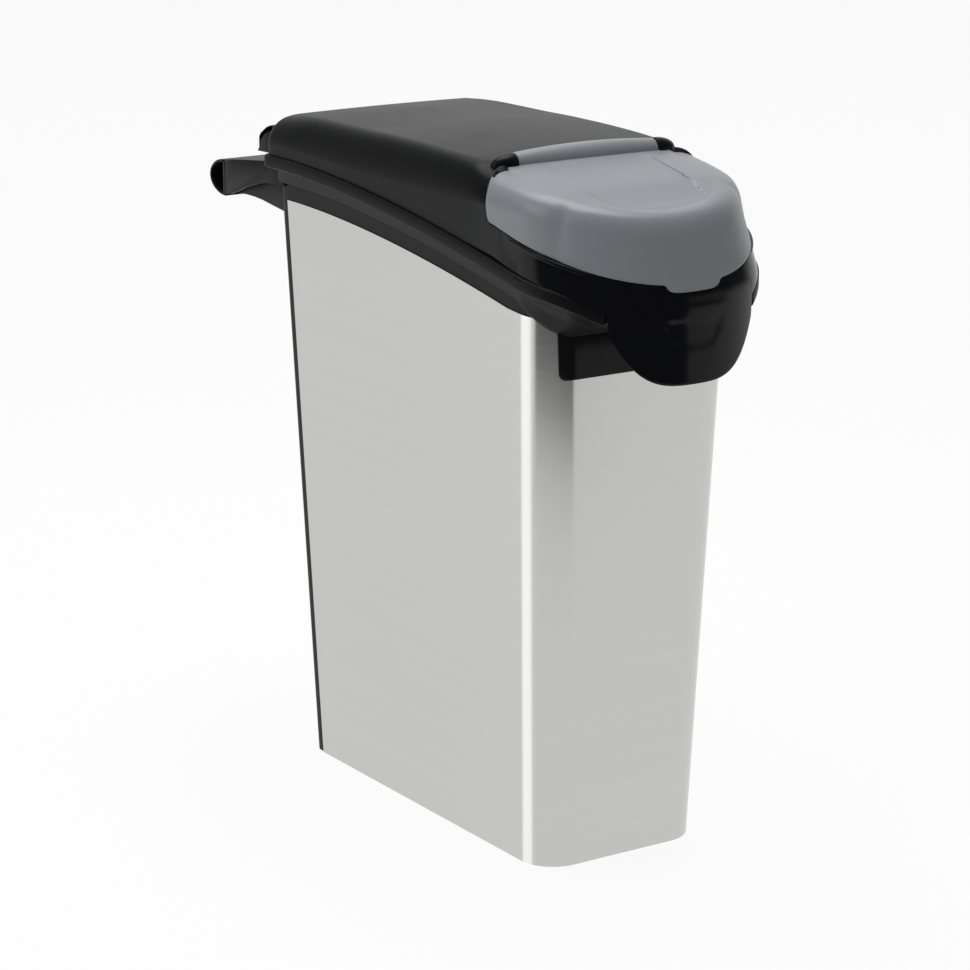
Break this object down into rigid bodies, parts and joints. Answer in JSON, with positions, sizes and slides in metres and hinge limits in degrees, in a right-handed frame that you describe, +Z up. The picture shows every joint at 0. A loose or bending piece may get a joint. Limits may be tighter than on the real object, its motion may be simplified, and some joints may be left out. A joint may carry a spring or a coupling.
{
  "type": "dry food storage bin with flip spout",
  "caption": "Slim tapered food storage bin wrapped in steel sheet, with a rear carry handle, a hinged lid over the tub and a flip lid over its pouring mouth.",
  "frame": {"origin": "on the floor plane under the middle of the tub's base, which is the centre of the base mount", "axes": "+Z up; -Y forwards, out of the pouring nose; the handle is at +Y; +X to the right of someone who looks at the nose from the front"},
  "size_m": [0.176, 0.4719, 0.466],
  "materials": {
    "tub_plastic": "moulded black plastic with a soft gloss",
    "steel_sheet": "finely brushed stainless sheet, satin",
    "lid_plastic": "black plastic, satin on the top and glossy on the nose",
    "flip_plastic": "cool grey satin plastic with a fine grain",
    "gasket_rubber": "soft black seal",
    "pin_steel": "plain steel pin"
  },
  "bodies": {
    "bin": {"tub": "tub_plastic", "steel_wrap": "steel_sheet"},
    "main_lid": {"lid": "lid_plastic", "lid_gasket": "gasket_rubber", "lid_hinge_pin_left": "pin_steel", "lid_hinge_pin_right": "pin_steel"},
    "flip": {"flip_lid": "flip_plastic", "spout_gasket": "gasket_rubber", "flip_hinge_pin_left": "pin_steel", "flip_hinge_pin_right": "pin_steel"}
  },
  "joints": [
    {"name": "lid_hinge", "type": "hinge", "parent": "bin", "child": "main_lid", "pos_m": [0, 0.1745, 0.438], "axis": [-1, 0, 0], "range_deg": [0, 105]},
    {"name": "flip_hinge", "type": "hinge", "parent": "main_lid", "child": "flip", "pos_m": [0, -0.0944, 0.4565], "axis": [-1, 0, 0], "range_deg": [0, 110]}
  ]
}
